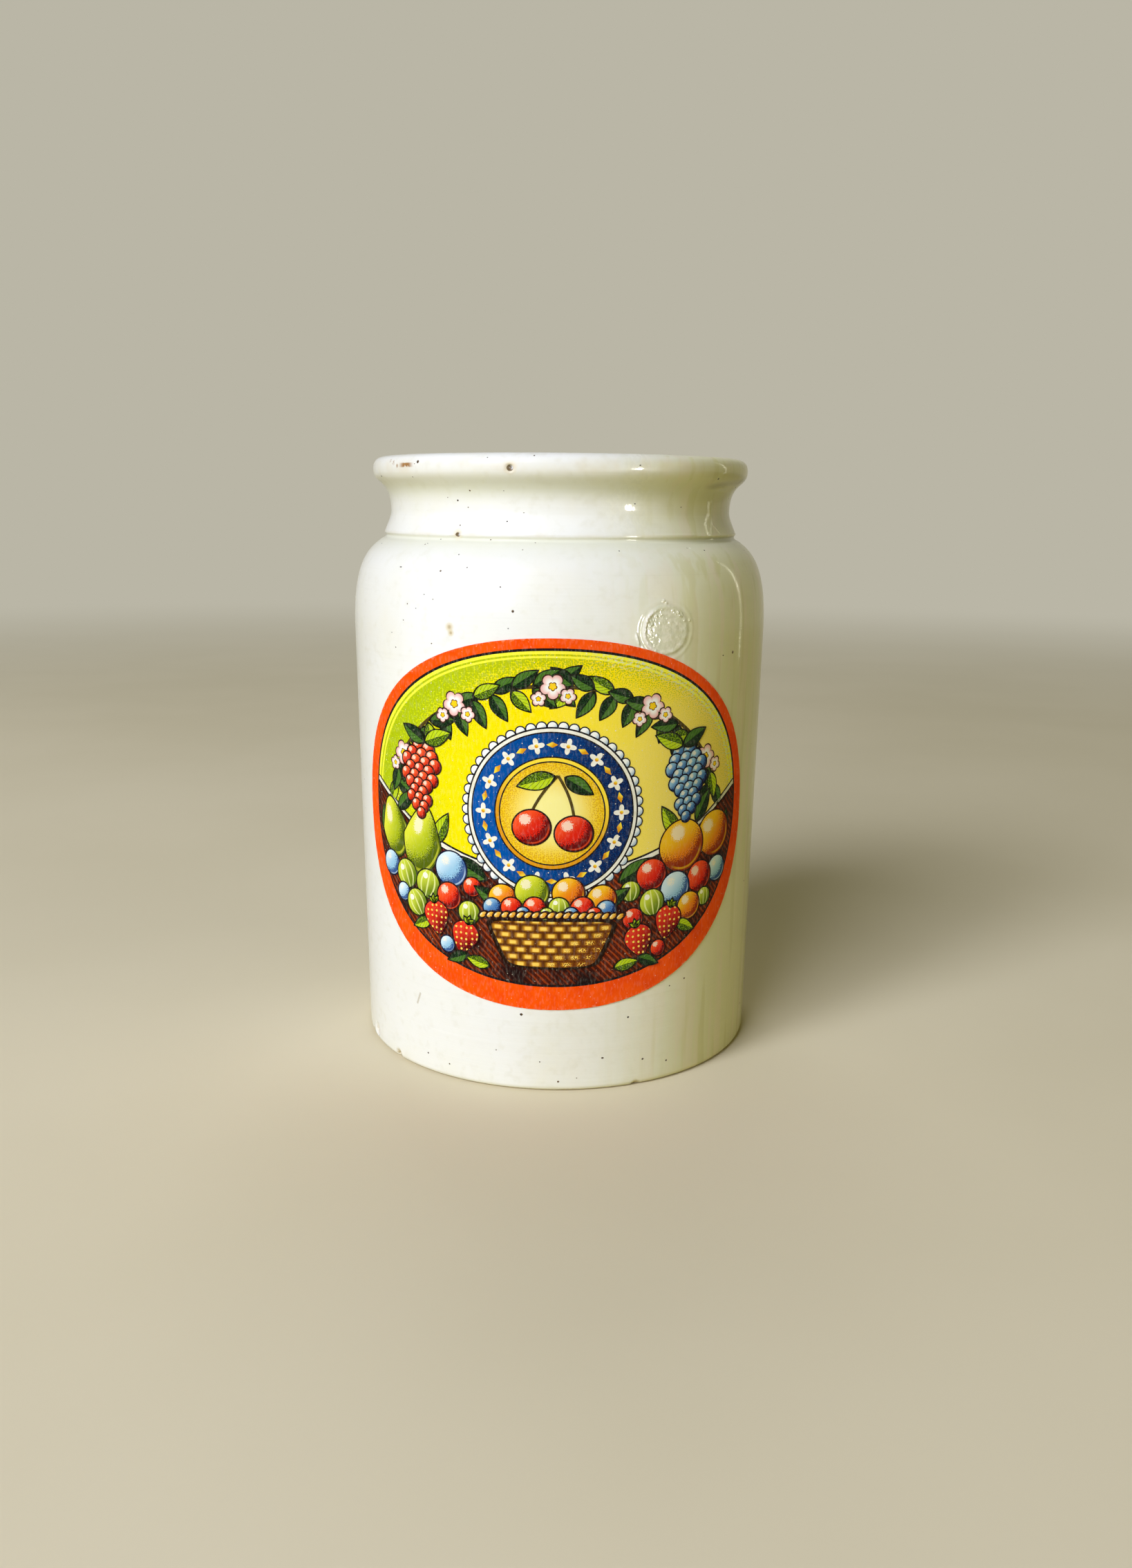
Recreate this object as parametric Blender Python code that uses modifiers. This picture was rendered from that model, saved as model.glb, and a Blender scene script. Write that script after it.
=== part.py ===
"""Stoneware jam jar: a straight-sided jar with a rolled rim, and the paper label on its wall.

Metres, +Z up.  The origin is the centre of the base, and the label faces -Y.
"""
from math import cos, pi, sin

import bmesh
import bpy
from mathutils import Vector
from mathutils.geometry import interpolate_bezier

# Radii of the outside
FOOT_RADIUS = 0.0467
SHOULDER_RADIUS = 0.04837
GROOVE_RADIUS = 0.04075
BEAD_RADIUS = 0.0411
NECK_RADIUS = 0.03946
RIM_RADIUS = 0.04343

# Heights, stacked from the base up
WALL_HEIGHT = 0.0997
SHOULDER_HEIGHT = 0.0202
BEAD_HEIGHT = 0.0005
WAIST_HEIGHT = 0.0046
UNDER_RIM_HEIGHT = 0.0093
OVER_RIM_HEIGHT = 0.0027

# Rounds
FOOT_ROUND = 0.0014
RIM_CROWN = 0.0031
MOUTH_ROUND = 0.0024

# Inside of the jar
MOUTH_RADIUS = 0.0347
WALL_THICKNESS = 0.0056
FLOOR_THICKNESS = 0.0070
HEEL_ROUND = 0.0055
INNER_SHOULDER_DROP = 0.0015

# Hollow under the base, inside the ring that the jar stands on
BASE_RING_WIDTH = 0.0065
BASE_HOLLOW = 0.0007
BASE_HOLLOW_SLOPE = 0.0015

# How far each curve holds its end direction
RIM_CROWN_PULL = 0.68
NECK_PULL_AT_WAIST = 0.0072
NECK_PULL_AT_RIM = 0.0037
FLARE_PULL_AT_WAIST = 0.0013
FLARE_PULL_AT_BEAD = Vector((-0.0003, 0, 0.0009))
SHOULDER_PULL_AT_GROOVE = Vector((0.0014, 0, -0.0028))
SHOULDER_PULL_AT_WALL = 0.0180
INNER_SHOULDER_PULL_AT_WALL = 0.55
INNER_SHOULDER_PULL_AT_NECK = 0.35

# Label
LABEL_WIDTH = 0.1018
LABEL_HEIGHT = 0.0807
LABEL_BOTTOM = 0.0193
LABEL_THICKNESS = 0.00025
LABEL_SQUARENESS = 2.16
LABEL_GAP = 0.0003

# Fineness
TURN_STEPS = 96
LABEL_POINTS = 72
MERGE_DISTANCE = 0.00001

GROOVE_Z = WALL_HEIGHT + SHOULDER_HEIGHT
BEAD_Z = GROOVE_Z + BEAD_HEIGHT
WAIST_Z = BEAD_Z + WAIST_HEIGHT
NOSE_Z = WAIST_Z + UNDER_RIM_HEIGHT
TOP_Z = NOSE_Z + OVER_RIM_HEIGHT


def empty_scene():
    """Remove whatever the file already holds."""
    for item in list(bpy.data.objects):
        bpy.data.objects.remove(item, do_unlink=True)


def material(name, colour, roughness):
    """A plain Principled material."""
    made = bpy.data.materials.new(name)
    made.use_nodes = True
    shader = made.node_tree.nodes["Principled BSDF"]
    shader.inputs["Base Color"].default_value = (*colour, 1.0)
    shader.inputs["Roughness"].default_value = roughness
    return made


def at(radius, height):
    """A point of the turned profile, which lies in the XZ plane."""
    return Vector((radius, 0, height))


def curve(start, start_pull, end_pull, end, count):
    """Points of a Bezier curve, without its first one."""
    points = interpolate_bezier(start, start + start_pull, end + end_pull, end, count + 1)
    return points[1:]


def round_corner(centre, radius, first, last, count):
    """Points of an arc in the profile plane, angles in quarter turns from +X towards +Z."""
    points = []
    for step in range(count + 1):
        angle = (first + (last - first) * step / count) * pi / 2
        points.append(centre + radius * at(cos(angle), sin(angle)))
    return points


def wall_radius(height):
    """Outer radius of the wall, which widens evenly from the foot to the shoulder."""
    return FOOT_RADIUS + (SHOULDER_RADIUS - FOOT_RADIUS) * height / WALL_HEIGHT


def inside_profile():
    """From the middle of the floor up the inside to the land on top of the rim."""
    heel_z = FLOOR_THICKNESS + HEEL_ROUND
    heel_radius = wall_radius(heel_z) - WALL_THICKNESS
    wall_top = at(SHOULDER_RADIUS - WALL_THICKNESS, WALL_HEIGHT)
    neck_foot = at(MOUTH_RADIUS, GROOVE_Z - INNER_SHOULDER_DROP)
    mouth_top = at(MOUTH_RADIUS, TOP_Z - MOUTH_ROUND)
    rise = neck_foot.z - wall_top.z
    points = [at(0, FLOOR_THICKNESS)]
    points += round_corner(at(heel_radius - HEEL_ROUND, heel_z), HEEL_ROUND, -1, 0, 6)
    points.append(wall_top)
    upward = at(0, rise * INNER_SHOULDER_PULL_AT_WALL)
    downward = at(0, -rise * INNER_SHOULDER_PULL_AT_NECK)
    points += curve(wall_top, upward, downward, neck_foot, 9)
    points += round_corner(mouth_top + at(MOUTH_ROUND, 0), MOUTH_ROUND, 2, 1, 4)
    return points


def rim_profile():
    """From the land on top of the rim round its nose and down to the waist of the neck."""
    land = at(RIM_RADIUS - RIM_CROWN, TOP_Z)
    nose = at(RIM_RADIUS, NOSE_Z)
    waist = at(NECK_RADIUS, WAIST_Z)
    outward = at(RIM_CROWN * RIM_CROWN_PULL, 0)
    upward = at(0, OVER_RIM_HEIGHT * RIM_CROWN_PULL)
    points = [land]
    points += curve(land, outward, upward, nose, 6)
    points += curve(nose, at(0, -NECK_PULL_AT_RIM), at(0, NECK_PULL_AT_WAIST), waist, 10)
    return points


def shoulder_profile():
    """From the waist of the neck over the bead and the shoulder to the top of the wall."""
    waist = at(NECK_RADIUS, WAIST_Z)
    bead = at(BEAD_RADIUS, BEAD_Z)
    groove = at(GROOVE_RADIUS, GROOVE_Z)
    wall_top = at(SHOULDER_RADIUS, WALL_HEIGHT)
    points = curve(waist, at(0, -FLARE_PULL_AT_WAIST), FLARE_PULL_AT_BEAD, bead, 4)
    points.append(groove)
    points += curve(groove, SHOULDER_PULL_AT_GROOVE, at(0, SHOULDER_PULL_AT_WALL), wall_top, 10)
    return points


def foot_profile():
    """From the foot of the wall round its edge and under the base to the middle."""
    ring_inside = FOOT_RADIUS - BASE_RING_WIDTH
    points = round_corner(at(FOOT_RADIUS - FOOT_ROUND, FOOT_ROUND), FOOT_ROUND, 0, -1, 3)
    points.append(at(ring_inside, 0))
    points.append(at(ring_inside - BASE_HOLLOW_SLOPE, BASE_HOLLOW))
    points.append(at(0, BASE_HOLLOW))
    return points


def make_jar(collection):
    """The jar in one piece, turned from its profile."""
    points = inside_profile() + rim_profile() + shoulder_profile() + foot_profile()
    mesh = bpy.data.meshes.new("jar")
    edges = [(index, index + 1) for index in range(len(points) - 1)]
    mesh.from_pydata(points, edges, [])
    jar = bpy.data.objects.new("jar", mesh)
    collection.objects.link(jar)
    turn = jar.modifiers.new("turn", "SCREW")
    turn.axis = "Z"
    turn.steps = TURN_STEPS
    turn.render_steps = TURN_STEPS
    turn.use_smooth_shade = True
    turn.use_merge_vertices = True
    turn.merge_threshold = MERGE_DISTANCE
    mesh.materials.append(material("stoneware_glaze", (0.84, 0.81, 0.72), 0.18))
    return jar


def label_outline():
    """Points of the label's rounded oval, flat, with its middle at the origin."""
    points = []
    for step in range(LABEL_POINTS):
        angle = 2 * pi * step / LABEL_POINTS
        across, up = cos(angle), sin(angle)
        reach = (abs(across) ** LABEL_SQUARENESS + abs(up) ** LABEL_SQUARENESS) ** (-1 / LABEL_SQUARENESS)
        points.append((LABEL_WIDTH / 2 * reach * across, LABEL_HEIGHT / 2 * reach * up))
    return points


def flat_label(collection):
    """The label as a flat sheet, cut from its outline."""
    outline = bpy.data.curves.new("label_outline", "CURVE")
    outline.dimensions = "2D"
    outline.fill_mode = "BOTH"
    outline.extrude = LABEL_THICKNESS / 2
    spline = outline.splines.new("POLY")
    points = label_outline()
    spline.points.add(len(points) - 1)
    for point, (x, y) in zip(spline.points, points):
        point.co = (x, y, 0, 1)
    spline.use_cyclic_u = True
    guide = bpy.data.objects.new("label_outline", outline)
    collection.objects.link(guide)
    evaluated = guide.evaluated_get(bpy.context.evaluated_depsgraph_get())
    mesh = bpy.data.meshes.new_from_object(evaluated)
    mesh.name = "label"
    label = bpy.data.objects.new("label", mesh)
    label.matrix_world = guide.matrix_world
    bpy.data.objects.remove(guide, do_unlink=True)
    collection.objects.link(label)
    return label


def cut_into_columns(sheet):
    """Cut the sheet upright at each corner of its outline, so that it can bend there."""
    bmesh.ops.remove_doubles(sheet, verts=sheet.verts, dist=MERGE_DISTANCE)
    bmesh.ops.dissolve_limit(sheet, angle_limit=0.01, verts=sheet.verts, edges=sheet.edges)
    for x, y in label_outline():
        inside = abs(x) < LABEL_WIDTH / 2 - MERGE_DISTANCE
        if inside and y > 0:
            geometry = sheet.verts[:] + sheet.edges[:] + sheet.faces[:]
            bmesh.ops.bisect_plane(sheet, geom=geometry, plane_co=(x, 0, 0), plane_no=(1, 0, 0),
                                   dist=MERGE_DISTANCE)


def wrap(point):
    """Lay a point of the flat label on the wall, with its thickness pointing outwards."""
    middle_z = LABEL_BOTTOM + LABEL_HEIGHT / 2
    angle = point.x / (wall_radius(middle_z) + LABEL_GAP)
    height = middle_z + point.y
    radius = wall_radius(height) + LABEL_GAP + LABEL_THICKNESS / 2 + point.z
    return Vector((radius * sin(angle), -radius * cos(angle), height))


def make_label(collection):
    """The paper label, cut flat and laid round the front of the wall."""
    label = flat_label(collection)
    sheet = bmesh.new()
    sheet.from_mesh(label.data)
    cut_into_columns(sheet)
    for vertex in sheet.verts:
        vertex.co = wrap(vertex.co)
    bmesh.ops.recalc_face_normals(sheet, faces=sheet.faces)
    sheet.to_mesh(label.data)
    sheet.free()
    label.data.shade_smooth()
    label.data.set_sharp_from_angle(angle=pi / 6)
    label.data.materials.append(material("label_paper", (0.78, 0.66, 0.12), 0.55))
    return label


def build():
    """Model the jar and its label."""
    empty_scene()
    collection = bpy.data.collections.new("stoneware_jam_jar")
    bpy.context.scene.collection.children.link(collection)
    make_jar(collection)
    make_label(collection)


build()
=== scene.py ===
"""Stoneware jam jar and its printed paper label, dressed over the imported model."""

import random
from math import cos, degrees, hypot, pi, radians, sin

import bmesh
import bpy
from mathutils import Matrix, Vector, noise
from mathutils.bvhtree import BVHTree
from mathutils.geometry import interpolate_bezier


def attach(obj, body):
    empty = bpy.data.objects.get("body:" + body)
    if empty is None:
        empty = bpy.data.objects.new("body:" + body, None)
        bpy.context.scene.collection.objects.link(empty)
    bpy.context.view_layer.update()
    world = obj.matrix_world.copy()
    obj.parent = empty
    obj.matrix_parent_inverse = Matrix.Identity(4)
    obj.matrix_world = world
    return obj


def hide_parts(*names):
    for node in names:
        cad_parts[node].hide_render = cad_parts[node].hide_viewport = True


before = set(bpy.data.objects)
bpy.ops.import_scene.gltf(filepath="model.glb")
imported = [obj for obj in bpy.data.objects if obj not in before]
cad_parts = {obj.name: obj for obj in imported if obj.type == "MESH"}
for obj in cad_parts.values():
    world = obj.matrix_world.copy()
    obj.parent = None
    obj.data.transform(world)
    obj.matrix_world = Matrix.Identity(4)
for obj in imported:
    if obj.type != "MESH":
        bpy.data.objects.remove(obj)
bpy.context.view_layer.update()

# The jar is one piece of pale stoneware. It is formed in a mould with a turned profile, dipped
# in a cream feldspar glaze that breaks to grey-green where it lies thick, and fired to about
# 1250 degrees. The ring that it stands on is wiped bare before the firing.

FOOT_RADIUS, SHOULDER_RADIUS, WALL_HEIGHT = 0.0467, 0.04837, 0.0997
COVE = Vector((0.04208, 0, 0.11845))
GROOVE = Vector((0.04075, 0, 0.1196))
BEAD = Vector((0.0411, 0, 0.1202))
WAIST = Vector((0.03946, 0, 0.1250))
NOSE = Vector((0.04343, 0, 0.1343))
RIM_TOP = Vector((0.04033, 0, 0.1370))
MOUTH_RADIUS, MOUTH_ROUND = 0.0347, 0.0024
WALL_THICKNESS, FLOOR_HEIGHT, HEEL_ROUND = 0.0056, 0.0070, 0.0055
FOOT_ROUND, RING_WIDTH, BASE_HOLLOW, HOLLOW_SLOPE = 0.0014, 0.0065, 0.0007, 0.0015
TURN_STEPS = 240


def wall_radius(height):
    """Outer radius of the wall, which widens evenly from the foot to the shoulder."""
    return FOOT_RADIUS + (SHOULDER_RADIUS - FOOT_RADIUS) * height / WALL_HEIGHT


def arc(radius, height, turn, first, last, count):
    """Points of a round in the profile, in quarter turns and without its first one."""
    angles = [(first + (last - first) * (step + 1) / count) * pi / 2 for step in range(count)]
    return [Vector((radius + turn * cos(a), 0, height + turn * sin(a))) for a in angles]


def rule(start, end, count):
    """Points of a straight stretch of the profile, without its first one."""
    return [start.lerp(end, (step + 1) / count) for step in range(count)]


def sweep(start, start_pull, end_pull, end, count):
    """Points of a curved stretch of the profile, without its first one."""
    pulls = start + Vector(start_pull), end + Vector(end_pull)
    return interpolate_bezier(start, *pulls, end, count + 1)[1:]


heel_height = FLOOR_HEIGHT + HEEL_ROUND
heel_radius = wall_radius(heel_height) - WALL_THICKNESS
inner_top = Vector((SHOULDER_RADIUS - WALL_THICKNESS, 0, WALL_HEIGHT))
neck_foot = Vector((MOUTH_RADIUS, 0, 0.1184))
wall_top = Vector((SHOULDER_RADIUS, 0, WALL_HEIGHT))
foot_top = Vector((FOOT_RADIUS, 0, FOOT_ROUND))
ring_outside = Vector((FOOT_RADIUS - FOOT_ROUND, 0, 0))
ring_inside = Vector((FOOT_RADIUS - RING_WIDTH, 0, 0))
hollow_edge = Vector((FOOT_RADIUS - RING_WIDTH - HOLLOW_SLOPE, 0, BASE_HOLLOW))
inner_rise = neck_foot.z - inner_top.z

profile = [Vector((0, 0, FLOOR_HEIGHT))]
profile += rule(profile[0], Vector((heel_radius - HEEL_ROUND, 0, FLOOR_HEIGHT)), 9)
profile += arc(heel_radius - HEEL_ROUND, heel_height, HEEL_ROUND, -1, 0, 10)
profile += rule(profile[-1], inner_top, 34)
profile += sweep(inner_top, (0, 0, inner_rise * 0.55), (0, 0, -inner_rise * 0.35), neck_foot, 16)
profile += rule(neck_foot, Vector((MOUTH_RADIUS, 0, RIM_TOP.z - MOUTH_ROUND)), 8)
profile += arc(MOUTH_RADIUS + MOUTH_ROUND, RIM_TOP.z - MOUTH_ROUND, MOUTH_ROUND, 2, 1, 8)
profile += rule(profile[-1], RIM_TOP, 2)
profile += sweep(RIM_TOP, (0.0021, 0, 0), (0, 0, 0.0018), NOSE, 12)
profile += sweep(NOSE, (0, 0, -0.0037), (0, 0, 0.0072), WAIST, 22)
profile += sweep(WAIST, (0, 0, -0.0013), (-0.0003, 0, 0.0009), BEAD, 8)
profile += rule(BEAD, GROOVE, 2)
profile += sweep(GROOVE, (0, 0, -0.0007), (-0.0005, 0, 0.0004), COVE, 6)
profile += sweep(COVE, (0.00231, 0, -0.00186), (0, 0, 0.0144), wall_top, 24)
profile += rule(wall_top, foot_top, 68)
profile += arc(FOOT_RADIUS - FOOT_ROUND, FOOT_ROUND, FOOT_ROUND, 0, -1, 6)
profile += rule(ring_outside, ring_inside, 4)
profile += rule(ring_inside, hollow_edge, 3)
profile += rule(hollow_edge, Vector((0, 0, BASE_HOLLOW)), 8)

clay = bmesh.new()
ring = [clay.verts.new(point) for point in profile]
line = [clay.edges.new(pair) for pair in zip(ring, ring[1:])]
bmesh.ops.spin(clay, geom=ring + line, cent=(0, 0, 0), axis=(0, 0, 1), angle=2 * pi,
               steps=TURN_STEPS, use_merge=True)
bmesh.ops.remove_doubles(clay, verts=clay.verts, dist=0.00001)
bmesh.ops.recalc_face_normals(clay, faces=clay.faces)


def skin(angle, height, radius=None):
    """A point of the outside, at an angle in degrees from the front towards +X."""
    reach = wall_radius(height) if radius is None else radius
    return Vector((reach * sin(radians(angle)), -reach * cos(radians(angle)), height))


# A rough round scar in the glaze, above the label on the right, where a blistered patch the
# size of a small coin sealed over in the firing. It has a raised lip and a crust of small
# blisters along its upper left, and one run of thick glaze stands beside it.
SCAR_ANGLE, SCAR_HEIGHT = 28.7, 0.1013
SCAR_RADIUS, SCAR_WIDENING = 0.0053, 1.08
SCAR_REACH = SCAR_RADIUS * 1.55
OUTER_WALL, OUTER_NECK = 0.046, 0.038
SCAR = skin(SCAR_ANGLE, SCAR_HEIGHT)
scar_across = Vector((cos(radians(SCAR_ANGLE)), sin(radians(SCAR_ANGLE)), 0))


def refine(cuts, belongs):
    """Cut the faces finer where both ends of an edge belong to a patch."""
    edges = [edge for edge in clay.edges if all(belongs(end.co) for end in edge.verts)]
    bmesh.ops.subdivide_edges(clay, edges=edges, cuts=cuts, use_grid_fill=True)


def by_scar(point):
    return (point - SCAR).length < SCAR_REACH and point.xy.length > OUTER_WALL


refine(8, by_scar)

# Each group of blisters: how many, their directions in degrees, how far out they are as a share
# of the scar's radius, and their sizes and heights in millimetres.
CRUST = [(64, (95, 245, 160), (0.58, 0.92), (0.19, 0.30), (0.06, 0.16)),
         (22, (20, 75, 42), (0.74, 0.96), (0.19, 0.28), (0.05, 0.13)),
         (46, (0, 360, 120), (0.30, 1.00), (0.28, 0.48), (0.01, 0.035))]
DRIP_STEPS = 14
crust = random.Random(5)
blisters = []
for count, directions, reaches, sizes, heights in CRUST:
    for _ in range(count):
        around = radians(crust.triangular(*directions))
        reach = SCAR_RADIUS * crust.uniform(*reaches)
        blisters.append((reach * cos(around), reach * sin(around),
                         crust.uniform(*sizes) / 1000, crust.uniform(*heights) / 1000))
for step in range(DRIP_STEPS):
    ends = min(1, (step + 0.5) / 4, (DRIP_STEPS - 0.5 - step) / 3)
    blisters.append((-0.0065 + 0.00006 * step, -0.0001 - 0.00023 * step,
                     0.00034 + 0.00001 * step, (0.00010 + 0.000005 * step) * ends))
blisters += [(0.0055, 0.0019, 0.0003, 0.00016), (-0.0004, 0.0061, 0.0005, 0.00012),
             (0.0002, 0.0056, 0.0004, 0.00012)]


def hill(value, low, high):
    """A smooth hill that is 1 midway between low and high and 0 outside them."""
    share = (value - low) / (high - low)
    return sin(pi * share) ** 2 if 0 < share < 1 else 0.0


# Chips at the foot and burst bubbles: the place, the size across and the depth of each.
CHIPS = [
    (skin(-65.7, 0.0026, 0.0468), 0.0021, 0.0009), (skin(-50.5, 0.0010, 0.0464), 0.0016, 0.0007),
    (skin(-71.0, 0.0006, 0.0462), 0.0018, 0.0006), (skin(24.0, 0.0004, 0.0460), 0.0015, 0.0005),
    (skin(148.0, 0.0008, 0.0463), 0.0022, 0.0008)]
PITS = [
    (skin(-12.3, 0.1338, 0.0434), 0.00115, 0.00050), (skin(-30.3, 0.1203, 0.0411), 0.0010, 0.0004),
    (skin(104.0, 0.1330, 0.0433), 0.0009, 0.0004), (skin(-133.0, 0.0640), 0.0008, 0.0003)]

# Thick glaze ran down the neck on the right and set as a thin ridge that forks at the bead.
# Above it a fold of glaze stands under the rim.
RUN_ANGLE = 58.3
run_across = Vector((cos(radians(RUN_ANGLE)), sin(radians(RUN_ANGLE)), 0))
refine(4, lambda point: (abs(point.dot(run_across)) < 0.0075 and point.x > 0
                         and point.xy.length > OUTER_NECK and 0.1190 < point.z < 0.1316))
for vertex in clay.verts:
    x, y, z = vertex.co
    if x > 0 and hypot(x, y) > OUTER_NECK and 0.1185 < z < 0.1320:
        beside = vertex.co.dot(run_across) + 0.0003 * noise.noise(Vector((0, 0, z * 330)))
        left_leg, right_leg = beside + 0.7 * (0.1236 - z), beside - 1.1 * (0.1226 - z)
        rise = 0.00009 * hill(beside, -0.0006, 0.0006) * hill(z, 0.1206, 0.1290)
        rise += 0.00006 * hill(left_leg, -0.0005, 0.0005) * hill(z, 0.1192, 0.1240)
        rise += 0.00008 * hill(right_leg, -0.0005, 0.0005) * hill(z, 0.1190, 0.1236)
        rise += 0.00026 * hill(beside, -0.0022, 0.0062) * hill(z, 0.1297, 0.1309)
        vertex.co += Vector((x, y, 0)).normalized() * rise

near_chips = [edge for edge in clay.edges
              if any((edge.verts[0].co - place).length < size + 0.0012
                     for place, size, _ in CHIPS + PITS)]
bmesh.ops.subdivide_edges(clay, edges=near_chips, cuts=5, use_grid_fill=True)
for vertex in clay.verts:
    outward = Vector((vertex.co.x, vertex.co.y, 0)).normalized()
    gap = vertex.co - SCAR
    if by_scar(vertex.co):
        east, north = gap.dot(scar_across) / SCAR_WIDENING, gap.z
        away = hypot(east, north) / SCAR_RADIUS
        left = 0.5 - 0.5 * east / max(hypot(east, north), 0.0001)
        uneven = 0.45 + 0.9 * noise.noise(Vector((east, north, 0)) * 330)
        rise = (0.00004 + 0.00013 * left) * hill(away, 0.76, 1.02)
        rise -= 0.00007 * uneven * (0.1 + left) * hill(away, 0.93, 1.10)
        rise -= 0.00005 * hill(away, -0.8, 0.8)
        rise += 0.00004 * hill(away, 1.04, 1.30)
        rise += 0.00005 * noise.noise(vertex.co * 700) * hill(away, 0.1, 1.05)
        for x, y, size, height in blisters:
            share = hypot(east - x, north - y) / size
            if share < 1:
                rise += height * (1 - share * share) ** 2
        vertex.co += outward * rise
    for place, size, depth in CHIPS + PITS:
        near = (vertex.co - place).length / size
        if near < 1:
            rough = 1 + 0.6 * noise.noise(vertex.co * 1500)
            vertex.co -= outward * depth * rough * (1 - near ** 2) ** 2
    if vertex.co.z > 0.003:
        sway = noise.noise(Vector((vertex.co.x * 25, vertex.co.y * 25, vertex.co.z * 14)))
        vertex.co += outward * sway * 0.00004


def stand(name, data):
    """Put a mesh, a lamp or a camera in the scene."""
    made = bpy.data.objects.new(name, data)
    bpy.context.scene.collection.objects.link(made)
    return made


def finish_shape(name, shape):
    """Put a finished shape in the scene."""
    mesh = bpy.data.meshes.new(name)
    shape.to_mesh(mesh)
    shape.free()
    mesh.shade_smooth()
    return stand(name, mesh)


jar_skin = BVHTree.FromBMesh(clay)
jar = finish_shape("glazed_jar", clay)


def colour(red, green, blue):
    """A paint chip's red, green and blue, 0 to 255, as the colour that a shader takes."""
    chip = [channel / 255 for channel in (red, green, blue)]
    return [c / 12.92 if c < 0.04045 else ((c + 0.055) / 1.055) ** 2.4 for c in chip] + [1.0]


def operator(operation):
    """A Python operator that adds a Math node."""
    return lambda value, *other: value.math(operation, value, *other)


class Value:
    """A shader socket that adds Math nodes when it is used in a sum."""

    def __init__(self, finish, socket):
        self.finish = finish
        self.socket = socket

    def math(self, operation, *pair):
        return self.finish.node("ShaderNodeMath", {"operation": operation}, dict(enumerate(pair)))

    def __rsub__(self, other):
        return self.math("SUBTRACT", other, self)

    __add__ = __radd__ = operator("ADD")
    __mul__ = __rmul__ = operator("MULTIPLY")
    __sub__, __truediv__, __pow__ = operator("SUBTRACT"), operator("DIVIDE"), operator("POWER")
    __gt__, __lt__, __abs__ = operator("GREATER_THAN"), operator("LESS_THAN"), operator("ABSOLUTE")
    floor, fraction = operator("FLOOR"), operator("FRACT")
    larger, fold = operator("MAXIMUM"), operator("PINGPONG")


class Finish:
    """One material: the nodes that colour it, and the colour that they have reached."""

    def __init__(self, name, first, **sockets):
        self.material = bpy.data.materials.new(name)
        self.material.use_nodes = True
        self.tree = self.material.node_tree
        self.shader = self.tree.nodes["Principled BSDF"]
        for socket, value in sockets.items():
            self.shader.inputs[socket.replace("_", " ")].default_value = value
        self.place = self.node("ShaderNodeTexCoord", {}, {}, "Object")
        self.map = self.place
        self.chip = colour(*first)

    def node(self, kind, settings, sockets, output=0):
        """Add a node, set it up, and then fill its sockets with numbers or links."""
        made = self.tree.nodes.new(kind)
        for name, value in settings.items():
            setattr(made, name, value)
        for key, value in sockets.items():
            if isinstance(value, Value):
                self.tree.links.new(value.socket, made.inputs[key])
            else:
                made.inputs[key].default_value = value
        return Value(self, made.outputs[output])

    def mix(self, share, first, second):
        """Blend two colours: first where share is 0 and second where it is 1."""
        settings = {"data_type": "RGBA", "clamp_factor": True}
        return self.node("ShaderNodeMix", settings, {0: share, 6: first, 7: second}, 2)

    def paint(self, share, chip):
        """Lay one more colour over the ones before, as much as share says."""
        second = chip if isinstance(chip, Value) else colour(*chip)
        self.chip = self.mix(share, self.chip, second)

    def ease(self, value, low, high):
        """0 below low and 1 above high, with a soft step between them."""
        sockets = {"Value": value, "From Min": low, "From Max": high}
        return self.node("ShaderNodeMapRange", {"interpolation_type": "SMOOTHSTEP"}, sockets)

    def band(self, value, low, full, fade, high):
        """1 between full and fade, falling softly to 0 at low and at high."""
        return self.ease(value, low, full) * (1 - self.ease(value, fade, high))

    def cloud(self, scale, detail=2.0, stretch=(1, 1, 1)):
        """Soft noise, with its size given as lumps in a metre or in a map unit."""
        spread = self.node("ShaderNodeMapping", {}, {"Vector": self.map, "Scale": stretch})
        sockets = {"Vector": spread, "Scale": scale, "Detail": detail}
        return self.node("ShaderNodeTexNoise", {}, sockets)

    def patches(self, scale, detail, low, high, stretch=(1, 1, 1)):
        """Soft patches: 0 where the noise is below low and 1 where it is above high."""
        return self.ease(self.cloud(scale, detail, stretch), low, high)

    def near(self, point, size):
        """1 at a point of the piece, falling softly to 0 at the given distance from it."""
        gap = self.node("ShaderNodeVectorMath", {"operation": "DISTANCE"},
                        {0: self.place, 1: point}, "Value")
        return 1 - self.ease(gap, size * 0.25, size)

    def spot(self, point, size, share, chip):
        """Paint one soft round spot."""
        self.paint(self.near(point, size) * share, chip)

    def parts(self, vector):
        """The three numbers of a vector."""
        split = self.tree.nodes.new("ShaderNodeSeparateXYZ")
        self.tree.links.new(vector.socket, split.inputs[0])
        return [Value(self, socket) for socket in split.outputs]

    def feed(self, **inputs):
        """Link values to the shader's own sockets, and give the finished material."""
        for socket, value in inputs.items():
            self.tree.links.new(value.socket, self.shader.inputs[socket.replace("_", " ")])
        return self.material

    def relief(self, height):
        """Turn a height in metres into a Normal."""
        sockets = {"Strength": 1.0, "Distance": 1.0, "Height": height}
        return self.node("ShaderNodeBump", {}, sockets, "Normal")


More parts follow.
